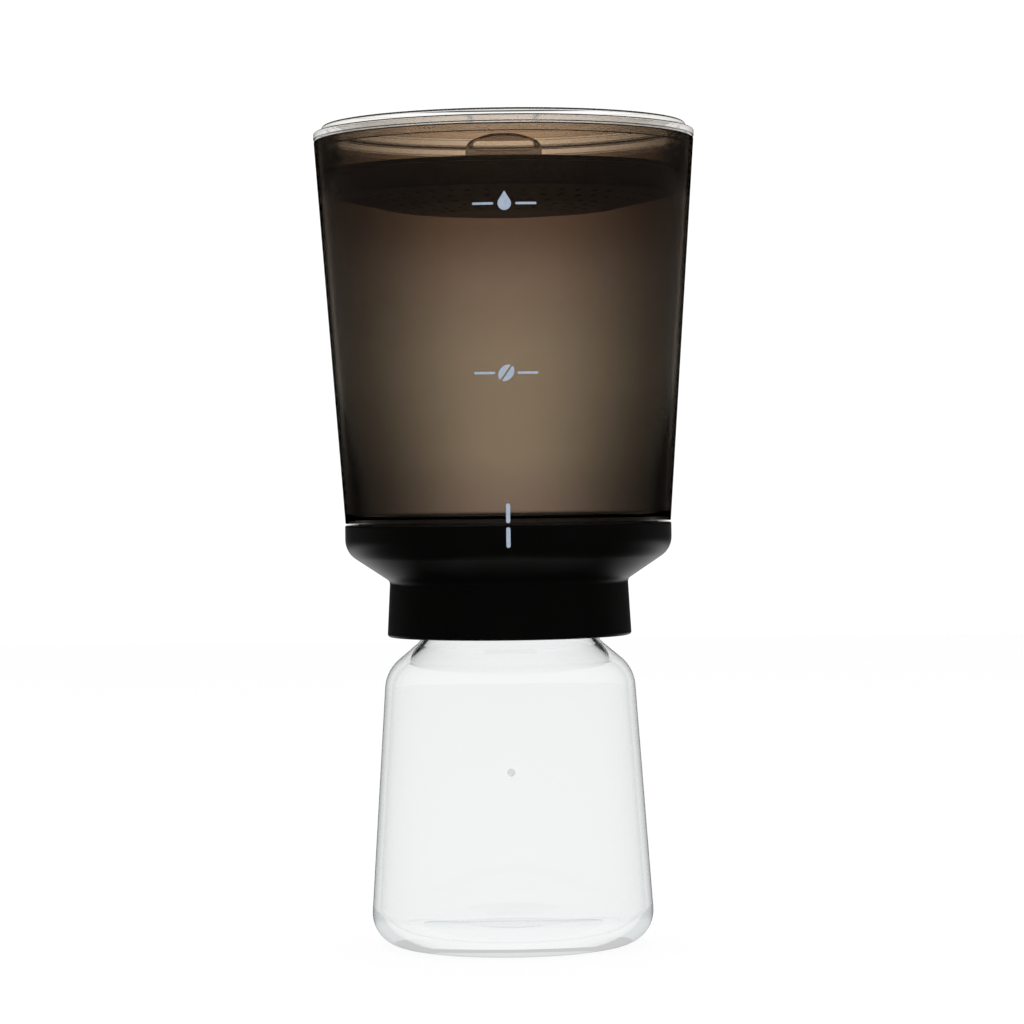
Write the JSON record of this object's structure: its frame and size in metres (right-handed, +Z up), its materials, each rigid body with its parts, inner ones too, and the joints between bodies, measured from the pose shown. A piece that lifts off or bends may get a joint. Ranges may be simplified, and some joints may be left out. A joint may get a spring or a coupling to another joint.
{
  "type": "cold brew coffee maker",
  "caption": "Two-stage cold brew maker: tapered smoke-brown brewing container with a perforated dish and clear lid, on a black filter collar over a glass carafe.",
  "frame": {"origin": "centre of the carafe's foot, on the surface it stands on", "axes": "+Z up along the common axis of carafe, collar and container; -Y is the front with the printed marks"},
  "size_m": [0.1368, 0.1368, 0.2943],
  "materials": {
    "carafe": "clear, polished borosilicate glass",
    "carafe_print": "printed enamel",
    "base_shell": "satin",
    "base_mark": "printed ink",
    "drain_funnel": "semi-gloss",
    "bayonet_ring": "semi-gloss",
    "carafe_seat": "matt silicone",
    "valve_actuator": "semi-gloss",
    "valve_plug": "matt silicone",
    "valve_spring": "drawn stainless wire",
    "filter_frame": "semi-gloss",
    "filter_mesh": "woven stainless mesh",
    "filter_clamp": "semi-gloss",
    "filter_seal": "matt silicone",
    "container": "clear smoke-brown, polished",
    "container_seal": "matt silicone",
    "container_print": "printed ink",
    "rainmaker_dish": "semi-gloss",
    "rainmaker_handle": "smoke grey, glossy",
    "lid": "clear, polished"
  },
  "bodies": {
    "carafe": {"carafe": "carafe", "carafe_print": "carafe_print"},
    "base": {"base_shell": "base_shell", "base_mark": "base_mark", "drain_funnel": "drain_funnel", "bayonet_ring": "bayonet_ring", "carafe_seat": "carafe_seat", "valve_spring": "valve_spring"},
    "valve": {"valve_actuator": "valve_actuator", "valve_plug": "valve_plug"},
    "filter": {"filter_frame": "filter_frame", "filter_mesh": "filter_mesh", "filter_clamp": "filter_clamp", "filter_seal": "filter_seal"},
    "container": {"container": "container", "container_seal": "container_seal", "container_print": "container_print"},
    "rainmaker": {"rainmaker_dish": "rainmaker_dish", "rainmaker_handle": "rainmaker_handle"},
    "lid": {"lid": "lid"}
  },
  "joints": [
    {"name": "base_lift", "type": "slide", "parent": "carafe", "child": "base", "axis": [0, 0, 1], "range_m": [0, 0.06]},
    {"name": "valve_travel", "type": "slide", "parent": "base", "child": "valve", "axis": [0, 0, -1], "range_m": [0, 0.005], "deforming": ["valve_spring"]},
    {"name": "container_twist", "type": "hinge", "parent": "base", "child": "container", "pos_m": [0, 0, 0.151], "axis": [0, 0, 1], "range_deg": [0, 30]},
    {"name": "filter_lift", "type": "slide", "parent": "base", "child": "filter", "axis": [0, 0, 1], "range_m": [0, 0.08]},
    {"name": "rainmaker_lift", "type": "slide", "parent": "container", "child": "rainmaker", "axis": [0, 0, 1], "range_m": [0, 0.06]},
    {"name": "lid_lift", "type": "slide", "parent": "rainmaker", "child": "lid", "axis": [0, 0, 1], "range_m": [0, 0.03]}
  ],
  "couplings": [
    {"joint": "valve_travel", "follows": "base_lift", "ratio": 0.083333}
  ]
}
